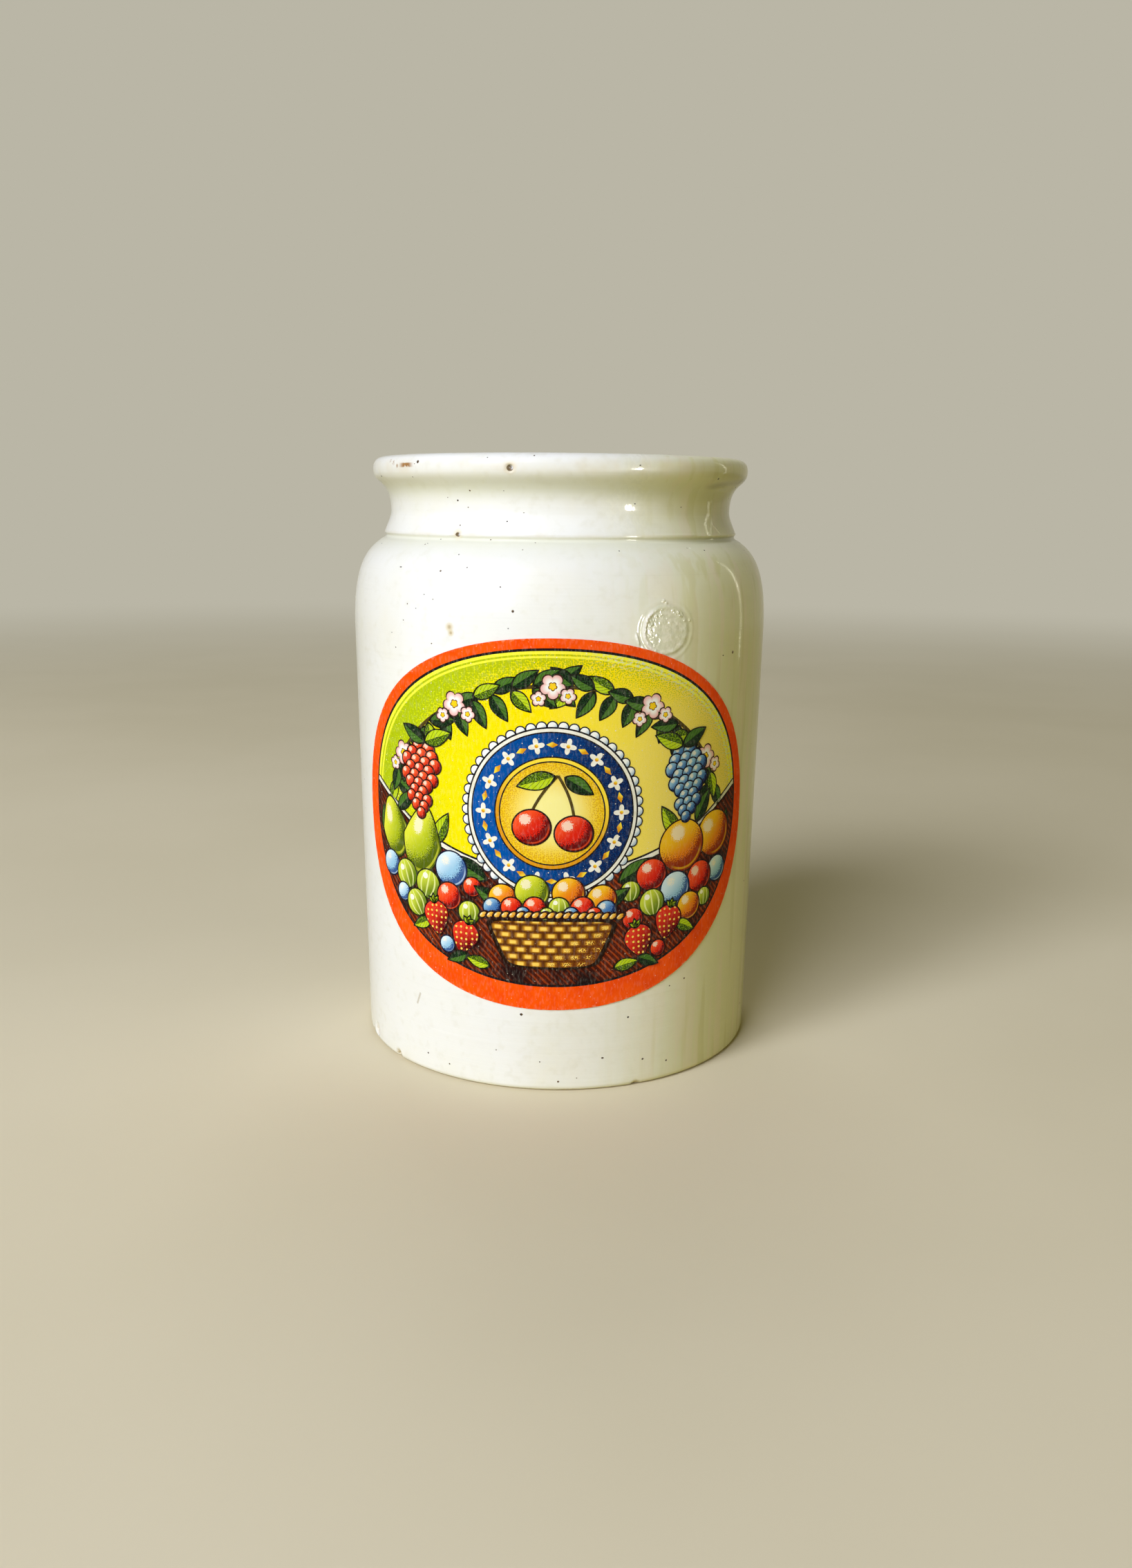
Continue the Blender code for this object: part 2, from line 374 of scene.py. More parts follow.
COAT = 0.7
glaze = Finish("stoneware_glaze", (243, 242, 238), Coat_Weight=COAT, Coat_Roughness=0.10)
east, north, up = glaze.parts(glaze.place)
reach = (east * east + north * north) ** 0.5
# side is 1 on the right of the jar, away from the lamps, and weights the painted shade below.
side = glaze.ease(east * 0.85 + north * 0.5, 0.000, 0.026)
glaze.paint(glaze.patches(16, 3, 0.38, 0.66), (237, 235, 227))
glaze.paint(glaze.patches(75, 4, 0.50, 0.80) * 0.25, (238, 230, 206))
glaze.paint(glaze.patches(420, 2, 0.50, 0.80) * 0.25, (216, 211, 190))
# Vertical glaze streaks over the whole jar, made stronger on the right as painted shade.
streaks_and_shade = glaze.patches(70, 3, 0.42, 0.72, (1, 1, 0.22)) * (side * 0.40 + 0.15)
glaze.paint(streaks_and_shade, (227, 223, 188))
# Painted shade: the right side, away from the lamps, is tinted a mottled yellow-olive.
shade_tint = side * (glaze.patches(55, 3, 0.3, 0.7, (1, 1, 0.4)) * 0.6 + 0.4)
glaze.paint(shade_tint * 0.6, (214, 209, 138))
# Painted shade: the jar darkens to olive towards its right, and the bands below vary that shade.
shaded_side = glaze.ease(east, 0.004, 0.040)
glaze.paint(shaded_side * 0.75, (226, 222, 172))
warm_bands = glaze.patches(300, 2, 0.48, 0.62, (1, 1, 0.07)) * shaded_side
glaze.paint(warm_bands * 0.35, (240, 220, 204))
olive_bands = glaze.patches(360, 2, 0.50, 0.64, (1, 1, 0.06)) * shaded_side
glaze.paint(olive_bands * 0.40, (204, 198, 122))
# Painted shade on the right of the neck.
neck_shade = glaze.band(up, 0.1190, 0.1225, 0.1325, 0.1355) * glaze.ease(east, 0.027, 0.039)
glaze.paint(neck_shade * 0.42, (140, 136, 72))
turning_line = glaze.band(up, 0.11246, 0.11252, 0.11255, 0.11261)
turning_line = turning_line * glaze.patches(45, 2, 0.40, 0.60)
glaze.paint(turning_line * 0.12, (176, 170, 140))

# Where the glaze pooled it is deeper in colour, and where it drew thin the clay shows warmer.
# The tint in the groove and on the neck under the rim is partly pooled glaze and partly painted
# shade, stronger on the shaded right; the inside floor is darker too.
groove = glaze.band(up, 0.1172, 0.1192, 0.1196, 0.1202)
pooled_and_shade = groove * (side * 0.6 + 0.4)
pooled_and_shade = pooled_and_shade + glaze.band(up, 0.1262, 0.1300, 0.1300, 0.1335) * 0.5
low_inside = (1 - glaze.ease(reach, 0.030, 0.0415)) * (1 - glaze.ease(up, 0.006, 0.0125))
glaze.paint((pooled_and_shade + low_inside * 0.6) * 0.7, (198, 200, 158))
# A grey band on the top of the shoulder under the bead's ledge: partly pooled glaze, partly painted
# shade.
shoulder_top = glaze.band(up, 0.1140, 0.1190, 0.1196, 0.1202)
glaze.paint(shoulder_top * 0.55, (228, 227, 206))
# Painted shade: the groove under the bead is darker on the shaded right side.
groove_shade = glaze.band(up, 0.1184, 0.1192, 0.1197, 0.1201) * side
glaze.paint(groove_shade * 0.55, (134, 136, 88))
thin = glaze.ease(reach, 0.0427, 0.0436) * glaze.ease(up, 0.131, 0.1335)
thin = thin + glaze.band(up, 0.11985, 0.1202, 0.1202, 0.1212) * 0.7
thin = thin + glaze.ease(up, 0.1362, 0.137) * glaze.ease(reach, 0.0345, 0.036) * 0.6
glaze.paint(thin * glaze.patches(190, 3, 0.35, 0.7) * 0.3, (221, 203, 164))

RUST = (152, 98, 0)
STAINS = [
    (skin(-54.9, 0.1351, 0.0432), 0.0007, 1.0), (skin(-57.2, 0.1355, 0.0430), 0.0006, 0.9),
    (skin(-52.6, 0.1345, 0.0434), 0.0006, 0.7), (skin(-161.0, 0.0990), 0.0012, 0.6),
    (skin(123.0, 0.0830), 0.0013, 0.6), (skin(-151.0, 0.1345, 0.0434), 0.0013, 0.7),
    (skin(171.0, 0.0330), 0.0010, 0.5), (skin(-98.0, 0.0560), 0.0011, 0.5)]
broken = glaze.patches(1100, 2, 0.36, 0.50)
for place, size, share in STAINS:
    glaze.paint(glaze.near(place, size) * broken * share, RUST)
stroke = glaze.near(skin(-48.0, 0.1346, 0.0434), 0.0031)
stroke = stroke * glaze.band(up, 0.1340, 0.1343, 0.1349, 0.1352) * glaze.patches(700, 3, 0.36, 0.46)
glaze.paint(stroke * 0.95, RUST)
for place, size in ((skin(-26.7, 0.1016), 0.0013), (skin(-26.3, 0.1004), 0.0010)):
    glaze.spot(place, size, 0.60, (212, 188, 124))
    glaze.spot(place, size * 0.45, 0.45, (150, 118, 66))
for step in range(7):
    glaze.spot(skin(-39.4 - 0.2 * step, 0.0184 - 0.0004 * step), 0.00042, 0.5, (170, 152, 118))

# Painted shade: an olive line under the fold of glaze below the rim, on the right.
above_fold = up - (east - 0.032) * 0.16 + glaze.cloud(240) * 0.0004
crease_shade = glaze.band(above_fold, 0.1298, 0.1306, 0.1307, 0.1317)
crease_shade = crease_shade * glaze.ease(east, 0.0310, 0.0340) * (1 - glaze.ease(north, -0.004, 0.012))
glaze.paint(crease_shade * 0.55, (138, 132, 74))
for place, size, _ in PITS:
    glaze.spot(place + Vector((0, 0, 0.0002)), size * 1.7, 0.40, (224, 194, 130))
    glaze.paint(glaze.ease(glaze.near(place, size), 0.40, 0.62) * 0.95, (96, 72, 30))
    # A painted glint in each pit.
    pit_glint = glaze.near(place + Vector((0.00016, 0, 0.00008)), size * 0.75)
    glaze.paint(glaze.ease(pit_glint, 0.40, 0.62), (222, 222, 226))
# Two painted glints on the shoulder below the bead, with a small dark pit beside them.
for angle, height in ((41.0, 0.11820), (41.5, 0.11795)):
    glaze.spot(skin(angle, height, 0.0430), 0.00042, 0.9, (255, 252, 240))
glaze.spot(skin(40.4, 0.1180, 0.0430), 0.0004, 0.7, (120, 116, 74))

beside_scar = east * scar_across.x + north * scar_across.y
before_scar = east * scar_across.y - north * scar_across.x
scar_gap = ((beside_scar / SCAR_WIDENING) ** 2 + (up - SCAR_HEIGHT) ** 2) ** 0.5 / SCAR_RADIUS
scar_gap = scar_gap + (before_scar < 0) * 9
inside_scar = 1 - glaze.ease(scar_gap, 0.90, 1.12)
milky = glaze.mix(glaze.patches(900, 3, 0.4, 0.65), colour(208, 207, 172), colour(236, 231, 208))
glaze.paint(inside_scar * 0.6, milky)
lip = glaze.band(scar_gap, 0.88, 1.0, 1.0, 1.14) * glaze.patches(240, 2, 0.35, 0.65)
glaze.paint(lip * 0.20, (176, 172, 134))
# Painted highlight: a pale crescent on the left of the scar's lip.
lip_highlight = glaze.band(scar_gap, 0.78, 0.86, 0.92, 1.00) * (beside_scar < -0.0030)
glaze.paint(lip_highlight * 0.8, (252, 246, 238))
# Painted highlights along the run of thick glaze beside the scar.
for step in range(4):
    glaze.spot(skin(20.7 + 0.30 * step, 0.1004 - 0.0007 * step), 0.0006, 0.8, (255, 252, 246))

bare = 1 - glaze.ease(up + glaze.cloud(420, 3) * 0.0007, 0.0003, 0.0011)
bare = bare * (reach > 0.0385)
for place, size, _ in CHIPS:
    bare = bare.larger(glaze.near(place, size * 0.95))
raw = glaze.mix(glaze.patches(2600, 2, 0.45, 0.7), colour(201, 183, 147), colour(160, 140, 104))
glaze.paint(bare * 0.9, raw)

ridges = glaze.cloud(1, 3, (16, 16, 1500)) * 0.000035 + glaze.cloud(1, 2, (9, 9, 330)) * 0.00008
peel = glaze.cloud(620) * 0.000022 + glaze.cloud(130) * 0.00003
crackle = (glaze.cloud(800) * 0.00010 + glaze.cloud(2600) * 0.00002) * inside_scar
grit = glaze.cloud(5200) * bare * 0.00005
ragged = glaze.cloud(900) * glaze.band(up, 0.1194, 0.1200, 0.1204, 0.1210) * 0.00010
rippled = glaze.near(skin(22.5, 0.1259, 0.0398), 0.0070)
rippled = rippled + glaze.near(skin(23.4, 0.1336, 0.0434), 0.0050)
dulled = glaze.patches(1300, 3, 0.46, 0.52, (1, 1, 0.7)) * glaze.ease(rippled, 0.0, 0.5)
gloss = glaze.patches(60, 3, 0.3, 0.8) * 0.10 + 0.46 + bare * 0.3
jar.data.materials.append(glaze.feed(
    Base_Color=glaze.chip, Roughness=gloss, Coat_Weight=COAT - dulled * 0.66,
    Normal=glaze.relief(ridges + peel + crackle + grit + ragged)))
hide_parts("jar")
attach(jar, "root")

# Iron specks are grains of iron in the clay that burn through the glaze as dark dots. They
# lie a little proud of it, are small and few, and no two are the same size.
# Each row is an angle in degrees, a height in millimetres and a size.
SPECKS = [
    (-42.5, 135.2, 32), (-13.3, 110.1, 16), (-30.8, 112.9, 22), (-46, 113.3, 17),
    (-41.1, 118.1, 15), (-19.2, 119.3, 16), (-31.5, 127.3, 20), (-26.5, 129.3, 17),
    (-27.8, 125.9, 14), (-14.5, 123.1, 15), (-9.9, 105.3, 25), (23.5, 134.6, 18), (54, 132.3, 22),
    (24.6, 126.9, 14), (42.1, 126.3, 15), (17.8, 117.4, 15), (46.8, 117.3, 18), (53, 95.5, 30),
    (48.6, 95.1, 18), (25.8, 6.1, 24), (38.8, 23.2, 20), (33.7, 22.3, 16), (33.5, 4.5, 20),
    (-29.3, 3.5, 18), (-7.9, 17.9, 30), (14.1, 7.6, 26), (2.1, 2.4, 22), (21.1, 16.6, 22),
    (-36.9, 4.6, 20), (-2.9, 7, 14), (7.1, 3.2, 14), (-14.9, 9, 13), (-45.6, 113.3, 14),
    (-23, 113.8, 12), (-35, 108, 12), (-40.7, 105.8, 14), (-37.5, 105, 12), (-32, 107.1, 11),
    (-42, 102.3, 12), (-46.8, 99.4, 13), (-45.3, 96.3, 17), (-32.2, 97.9, 15), (-11, 101.8, 12),
    (-26.7, 116.3, 14), (-8.7, 117.5, 13), (-40.4, 118.3, 14), (-46.1, 132.1, 13),
    (-18.8, 135.9, 14), (-5.7, 136.3, 15), (-43.9, 134.8, 12), (-36.8, 119.2, 13),
    (-30, 122.2, 15), (-9.5, 124.9, 12), (-15.4, 129.3, 11), (-35.3, 127.9, 11), (-5.6, 118.9, 14)]
SPECK_SCALE = 1 / 85000
OUTSIDE = 0.08
scatter = random.Random(11)
for _ in range(90):
    SPECKS.append((scatter.uniform(66, 294), scatter.uniform(6, 133), scatter.uniform(11, 24)))
grains = bmesh.new()
for angle, height, size in SPECKS:
    start = skin(angle, height / 1000, OUTSIDE)
    toward = Vector((-start.x, -start.y, 0)).normalized()
    spot, normal, _, _ = jar_skin.ray_cast(start, toward)
    radius = size * SPECK_SCALE
    seat = Matrix.Translation(spot) @ normal.to_track_quat("Z", "Y").to_matrix().to_4x4()
    flat = Matrix.Diagonal((radius, radius * scatter.uniform(0.6, 1), radius * 0.16, 1))
    bmesh.ops.create_uvsphere(grains, u_segments=8, v_segments=4, radius=1, matrix=seat @ flat)
specks = finish_shape("iron_specks", grains)
iron = Finish("burnt_iron", (44, 32, 22), Roughness=0.35)
iron.paint(iron.patches(700, 2, 0.4, 0.6), (96, 70, 40))
specks.data.materials.append(iron.feed(Base_Color=iron.chip))
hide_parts("jar")
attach(specks, "root")

# The label is a sheet of paper, die-cut to a rounded oval and glued round the front of the
# wall. Its printing is built up here ink by ink, as on a litho press: each colour is a thin
# flat shape in millimetres from the middle of the sheet, and then the sheet goes on the wall.
LABEL_MIDDLE = 0.05965
LABEL_SQUARENESS = 2.16
HALF_WIDE, HALF_TALL = 50.9, 40.35
PAPER_LIFT, PAPER_THICKNESS, INK_STEP = 0.00010, 0.00012, 0.000010
INK_LAYERS, OUTLINE = 0.9, 0.35
COLUMN, COLUMNS = 2.5, 20


class Sheet:
    """A flat sheet of printing: shapes in millimetres, each on a layer of ink."""

    def __init__(self, name, inks):
        self.name = name
        self.inks = inks
        self.flat = bmesh.new()
        self.print_map = self.flat.loops.layers.uv.new("print")
        self.shape_map = self.flat.loops.layers.uv.new("shape")
        self.tone_map = self.flat.loops.layers.uv.new("tone")
        self.dice = random.Random(name)

    def place(self, made, shape, middle, size, turn, layer, ink):
        """Map new points from the unit disc to their place, and keep the disc as a map."""
        faces = {face for vertex in made for face in vertex.link_faces}
        tone = self.dice.random(), OUTLINE / min(size)
        for face in faces:
            face.material_index = ink
            for loop in face.loops:
                loop[self.shape_map].uv = loop.vert.co.xy
                loop[self.tone_map].uv = tone
        lean = Matrix.Rotation(radians(turn), 2)
        for vertex in made:
            x, y = shape(vertex.co.x, vertex.co.y)
            spot = lean @ Vector((x * size[0], y * size[1])) + Vector(middle)
            vertex.co = (spot.x, spot.y, layer)
        for face in faces:
            for loop in face.loops:
                loop[self.print_map].uv = loop.vert.co.xy

    def disc(self, middle, size, turn=0, layer=1, ink=0, shape=lambda x, y: (x, y), sides=24):
        """A closed shape made from a disc."""
        made = bmesh.ops.create_circle(self.flat, cap_ends=True, cap_tris=True, segments=sides,
                                       radius=1)
        both = size if isinstance(size, tuple) else (size, size)
        self.place(made["verts"], shape, middle, both, turn, layer, ink)

    def strip(self, path, width, layer, steps):
        """A line of the first ink along a path, which takes 0 to 1 and gives a point."""
        made = bmesh.ops.create_grid(self.flat, x_segments=steps, y_segments=1, size=1)

        def follow(x, y):
            share = (x + 1) / 2
            here, ahead = Vector(path(share)), Vector(path(share + 0.01))
            side = (ahead - here).normalized().orthogonal()
            return here + side * y * (width / 2)

        self.place(made["verts"], follow, (0, 0), (1, 1), 0, layer, 0)

    def lay(self):
        """Give the ink its thickness, lay the sheet round the wall, and fit the piece out."""
        for column in range(-COLUMNS, COLUMNS + 1):
            everything = self.flat.verts[:] + self.flat.edges[:] + self.flat.faces[:]
            bmesh.ops.bisect_plane(self.flat, geom=everything, plane_co=(column * COLUMN, 0, 0),
                                   plane_no=(1, 0, 0), dist=0.0001)
        is_paper = self.name == "label_paper"
        thickness = PAPER_THICKNESS / INK_STEP if is_paper else INK_LAYERS
        raised = bmesh.ops.extrude_face_region(self.flat, geom=self.flat.faces[:])["geom"]
        lifted = [item for item in raised if isinstance(item, bmesh.types.BMVert)]
        bmesh.ops.translate(self.flat, verts=lifted, vec=(0, 0, thickness))
        bmesh.ops.recalc_face_normals(self.flat, faces=self.flat.faces)
        for vertex in self.flat.verts:
            vertex.co = self.wrap(vertex.co, thickness)
        piece = finish_shape(self.name, self.flat)
        piece.data.set_sharp_from_angle(angle=radians(35))
        for ink in self.inks:
            piece.data.materials.append(ink)
        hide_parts("label")
        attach(piece, "root")

    def wrap(self, point, thickness):
        """A flat point's place on the wall. Layers are counted from the face of the paper."""
        height = LABEL_MIDDLE + point.y / 1000
        middle_radius = wall_radius(LABEL_MIDDLE) + PAPER_LIFT
        below = point.x // COLUMN
        share = point.x / COLUMN - below
        angles = [side * COLUMN / 1000 / middle_radius for side in (below, below + 1)]
        first, second = [Vector((sin(angle), -cos(angle), 0)) for angle in angles]
        top = wall_radius(height) + PAPER_LIFT + PAPER_THICKNESS
        radius = top + (point.z - thickness) * INK_STEP
        return first.lerp(second, share) * radius + Vector((0, 0, height))


def oval(x, y, power=LABEL_SQUARENESS):
    """The die's rounded oval, from a disc. A higher power gives squarer corners."""
    share = (abs(x) ** power + abs(y) ** power) ** (-1 / power) if x or y else 0
    return x * share, y * share


class Ink(Finish):
    """A printing ink, with the maps that its stipple and its shading are drawn from."""

    def __init__(self, name, first):
        super().__init__(name, first, Roughness=0.65, Specular_IOR_Level=0.06)
        self.map, shape, tone = [self.node("ShaderNodeUVMap", {"uv_map": uv}, {})
                                 for uv in ("print", "shape", "tone")]
        self.x, self.y, _ = self.parts(self.map)
        self.across, self.up, _ = self.parts(shape)
        self.chance, self.line, _ = self.parts(tone)
        self.reach = (self.across * self.across + self.up * self.up) ** 0.5

    def cells(self, scale, uneven):
        """How far it is to the nearest of many scattered points."""
        return self.node("ShaderNodeTexVoronoi", {"voronoi_dimensions": "2D"},
                         {"Vector": self.map, "Scale": scale, "Randomness": uneven}, "Distance")

    def dots(self, pitch, amount):
        """Stipple: 1 in round dots whose size grows with amount, a pitch in millimetres apart."""
        return self.cells(1 / pitch, 0.75) < amount * 0.62

    def gleam(self, right, above):
        """How far it is to a point of the shape where it catches the light."""
        return ((self.across - right) ** 2 + (self.up - above) ** 2) ** 0.5

    def outline(self, weight, chip):
        """Paint a line round the shape."""
        self.paint(self.reach > 1 - self.line * weight, chip)

    def worn(self, amount):
        """Finish the ink: paper shows in tiny flecks, and the colour is never quite even."""
        size = self.cloud(0.6, 1) * 0.13 - 0.037
        self.paint((self.cells(0.42, 1.0) < size) * amount, (240, 232, 205))
        self.paint(self.patches(1.9, 3, 0.45, 0.75, (1, 0.35, 1)) * 0.06, (255, 248, 226))
        fibre = self.cloud(3.5, 2, (0.4, 1, 1)) * 0.000012
        return self.feed(Base_Color=self.chip, Normal=self.relief(fibre))


red = Ink("vermilion_ink", (255, 88, 6))
edge = abs(red.x / HALF_WIDE) ** LABEL_SQUARENESS + abs(red.y / HALF_TALL) ** LABEL_SQUARENESS
rubbed = red.ease(red.cloud(0.9, 4) + red.ease(edge, 0.96, 1.0) * 0.22, 0.72, 0.80)
red.paint(red.patches(0.25, 3, 0.4, 0.65), (246, 76, 3))
red.paint(rubbed * 0.32, (240, 170, 130))
paper = Sheet("label_paper", [red.worn(0.4)])
paper.disc((0, 0), (HALF_WIDE, HALF_TALL), layer=0, shape=oval, sides=120)
paper.lay()

# The ground of the print: a black hairline inside the red border, a stippled field that runs
# from lime to gold, and below it a deep maroon ground behind the fruit.
FIELD = Vector((0.25, 1.65))
FIELD_WIDE, FIELD_TALL, HAIRLINE = 46.85, 36.15, 0.55
black_ink = Ink("black_ink", (26, 20, 22)).worn(0.3)
white = Ink("paper_white", (244, 240, 226))
white.paint(white.patches(0.5, 3, 0.4, 0.7), (232, 226, 204))
white_ink = white.worn(0)

field = Ink("lime_and_gold_ink", (206, 220, 8))
ring_share = abs((field.x - FIELD.x) / FIELD_WIDE) ** LABEL_SQUARENESS
ring_share = ring_share + abs((field.y - FIELD.y) / FIELD_TALL) ** LABEL_SQUARENESS
drift = field.x * 0.011 + 0.42 + field.cloud(0.06) * 0.3
drift = drift - field.ease(ring_share, 0.45, 1.0) * 0.25
field.paint(field.ease(drift, 0.06, 0.46), (255, 228, 0))
field.paint(field.ease(drift, 0.52, 0.92) * 0.85, (250, 226, 116))
stipple = field.ease(ring_share + (0.5 - drift) * 0.9, 0.25, 1.35) * 0.9 + 0.12
field.paint(field.dots(0.42, stipple) * 0.7, (160, 178, 14))
keyline = (ring_share > 0.915) * (ring_share < 0.94) + (ring_share > 0.962)
field.paint(keyline, (252, 244, 60))
scuffed = field.ease(field.x + field.y * 0.6, 26, 38) * field.ease(ring_share, 0.80, 0.98)
scuffed = scuffed * (field.y > 2) * field.patches(1.1, 4, 0.50, 0.60, (1, 2.2, 1))
field.paint(scuffed * 0.8, (214, 226, 206))
field_ink = field.worn(1.0)

maroon = Ink("maroon_ink", (30, 14, 14))
hatch = maroon.node("ShaderNodeTexWave", {"wave_type": "BANDS", "bands_direction": "DIAGONAL"},
                    {"Vector": maroon.map, "Scale": 0.42, "Distortion": 1.5, "Detail": 1.0})
warmth = maroon.patches(0.09, 2, 0.35, 0.65)
maroon.paint(warmth, (84, 26, 10))
maroon.paint((hatch > 0.72) * warmth * 0.7, (176, 70, 20))
maroon_ink = maroon.worn(0.5)


def low_ground(rise):
    """The lower part of the oval, under a curve that hangs between the two sides."""
    def shape(x, y):
        if not x and not y:
            return 0, -0.66
        wide, tall = oval(x, y)
        return wide, min(tall, (rise - 12.6 + 0.0078 * (wide * FIELD_WIDE) ** 2) / FIELD_TALL)
    return shape


backing = Sheet("label_ground", [black_ink, field_ink, white_ink, maroon_ink])
backing.disc(FIELD, (FIELD_WIDE + HAIRLINE, FIELD_TALL + HAIRLINE), layer=1, shape=oval,
             sides=120)
backing.disc(FIELD, (FIELD_WIDE, FIELD_TALL), layer=2, ink=1, shape=oval, sides=120)
for layer, ink, rise in ((3, 0, 1.75), (4, 2, 1.3), (5, 0, 0.35), (6, 3, 0)):
    backing.disc(FIELD, (FIELD_WIDE, FIELD_TALL), layer=layer, ink=ink, shape=low_ground(rise),
                 sides=160)
backing.lay()


# Garland: dark green leaves on a stem that arches over the top of the print, with white and
# pink blossom among them. Each leaf is printed green, then outlined and veined in black.
def leaf(x, y):
    """A pointed leaf, from a disc."""
    return x, y * abs(y) ** 0.75 * (1 - 0.3 * x)


def leaf_finish(name, light, body, shade):
    """A leaf's greens, with its midrib, its veins and its outline."""
    ink = Ink(name, body)
    half = ink.ease(ink.up, -0.06, 0.06)
    ink.paint(half, light)
    veins = ink.across * 3.4 - abs(ink.up) * 2.2 + 5
    veins = (veins.fraction() < 0.16) * (1 - ink.ease(abs(ink.up), 0.75, 0.9))
    ink.paint(veins * 0.7, shade)
    ink.paint(ink.dots(0.34, (1 - half) * 0.75), shade)
    ink.paint((abs(ink.up) < 0.05) * (ink.across < 0.8), (24, 30, 14))
    ink.outline(0.8, (24, 26, 14))
    return ink.worn(0.3)


dark_leaf = leaf_finish("dark_leaf_ink", (74, 116, 40), (34, 66, 32), (14, 28, 16))
lime_leaf = leaf_finish("lime_leaf_ink", (190, 212, 26), (128, 160, 22), (52, 76, 14))


def petals(count, waist, roundness):
    """A flower seen from the front, made from a disc."""
    def shape(x, y):
        turn = Vector((x, y)).angle_signed(Vector((1, 0))) if x or y else 0
        share = waist + (1 - waist) * abs(cos(count / 2 * turn)) ** roundness
        return x * share, y * share
    return shape


blossom = petals(5, 0.70, 0.7)
petal = Ink("blossom_ink", (250, 248, 240))
petal.paint(petal.ease(petal.reach, 0.35, 0.95), (236, 176, 168))
petal.paint(petal.reach < 0.3, (250, 206, 20))
petal.paint((petal.reach > 0.26) * (petal.reach < 0.34), (120, 70, 20))
petal.outline(0.9, (60, 30, 24))
petal_ink = petal.worn(0)
twig_ink = Ink("twig_ink", (78, 62, 22)).worn(0)


def arch(share):
    """The line of the garland, from its left end to its right end."""
    angle = radians(171 - 162 * share)
    return 39.6 * cos(angle), 1.6 + 28.9 * sin(angle)


garland = Sheet("garland_print", [twig_ink, dark_leaf, lime_leaf, petal_ink])
garland.strip(arch, 0.8, layer=3, steps=80)
PAIRS = 25
for pair in range(PAIRS):
    share = (pair + 0.5) / PAIRS
    here, ahead = Vector(arch(share)), Vector(arch(share + 0.01))
    heading = (0 if pair < PAIRS / 2 else pi) - (ahead - here).angle_signed(Vector((1, 0)))
    for side in (-1, 1):
        tilt = heading + side * radians(garland.dice.uniform(34, 46))
        length = garland.dice.uniform(3.0, 3.7)
        middle = here + Vector((cos(tilt), sin(tilt))) * (length + 0.3)
        garland.disc(middle, (length, 1.65), turn=degrees(tilt), layer=4 + pair % 3,
                     ink=1 + (pair + side) % 5 // 4, shape=leaf)
for share in (0.10, 0.30, 0.50, 0.70, 0.90):
    x, y = arch(share)
    for right, above, size, spin, layer in ((0, 0, 2.9, 400, 8), (-2.9, -2.6, 1.8, 900, 9),
                                            (3.1, -2.0, 1.9, 700, 9)):
        garland.disc((x + right, y + above), size, turn=share * spin, layer=layer, ink=3,
                     shape=blossom, sides=40)
garland.lay()

# Roundel: a blue ring edged in white pearls round a cream medallion, set with white flowers
# and gold lozenges. It is printed as discs of ink, one on the other.
ROUNDEL = Vector((0, 3.6))
blue = Ink("royal_blue_ink", (0, 84, 166))
# The blue darkens towards the right of the label: painted shade.
blue.paint(blue.ease(blue.x + blue.cloud(0.15, 3) * 26, -8, 30), (6, 30, 78))
blue.paint(blue.dots(0.5, 0.35) * 0.25, (0, 116, 200))
blue_ink = blue.worn(1.0)
gold = Ink("gold_ink", (222, 150, 16))
gold.paint(gold.ease(gold.up + gold.across * 0.4, -0.4, 0.7), (252, 220, 60))
gold_ink = gold.worn(0.2)
pearl = Ink("pearl_ink", (168, 190, 204))
pearl.paint(pearl.ease(pearl.up - pearl.across, -1.1, 0.3), (250, 249, 242))
pearl.outline(0.8, (26, 24, 40))
pearl_ink = pearl.worn(0)
medal = Ink("medallion_ink", (250, 238, 150))
medal.paint(medal.ease(medal.reach, 0.25, 0.95), (244, 204, 30))
medal.paint(medal.dots(0.42, medal.ease(medal.reach, 0.5, 1.0) * 0.7) * 0.6, (206, 138, 20))
medal_ink = medal.worn(0.4)


def beside_roundel(angle, reach):
    """A point round the middle of the roundel."""
    return ROUNDEL + Vector((cos(angle), sin(angle))) * reach


roundel = Sheet("roundel_print", [black_ink, white_ink, blue_ink, gold_ink, pearl_ink, medal_ink])
PEARLS, MARKS, RIM = 52, 28, 18.5
cross = petals(4, 0.42, 1.6)
for number in range(PEARLS):
    spot = beside_roundel(2 * pi * number / PEARLS, 18.6)
    roundel.disc(spot, 1.2, layer=10, ink=4, sides=16)
for radius, ink in ((RIM, 0), (18.15, 1), (17.5, 0), (17.2, 2), (12.3, 0), (12.0, 3), (11.3, 0),
                    (11.0, 5)):
    roundel.disc(ROUNDEL, radius, layer=11 + (RIM - radius) * 0.4, ink=ink, sides=96)
for number in range(MARKS):
    angle = 2 * pi * number / MARKS
    spot = beside_roundel(angle, 14.75)
    if number % 2:
        roundel.disc(spot, (0.62, 1.25), turn=degrees(angle), layer=15, ink=3, sides=4)
    else:
        roundel.disc(spot, 1.75, turn=degrees(angle), layer=15, ink=1, shape=cross, sides=48)
        roundel.disc(spot, 0.42, layer=16, ink=3, sides=10)
roundel.lay()


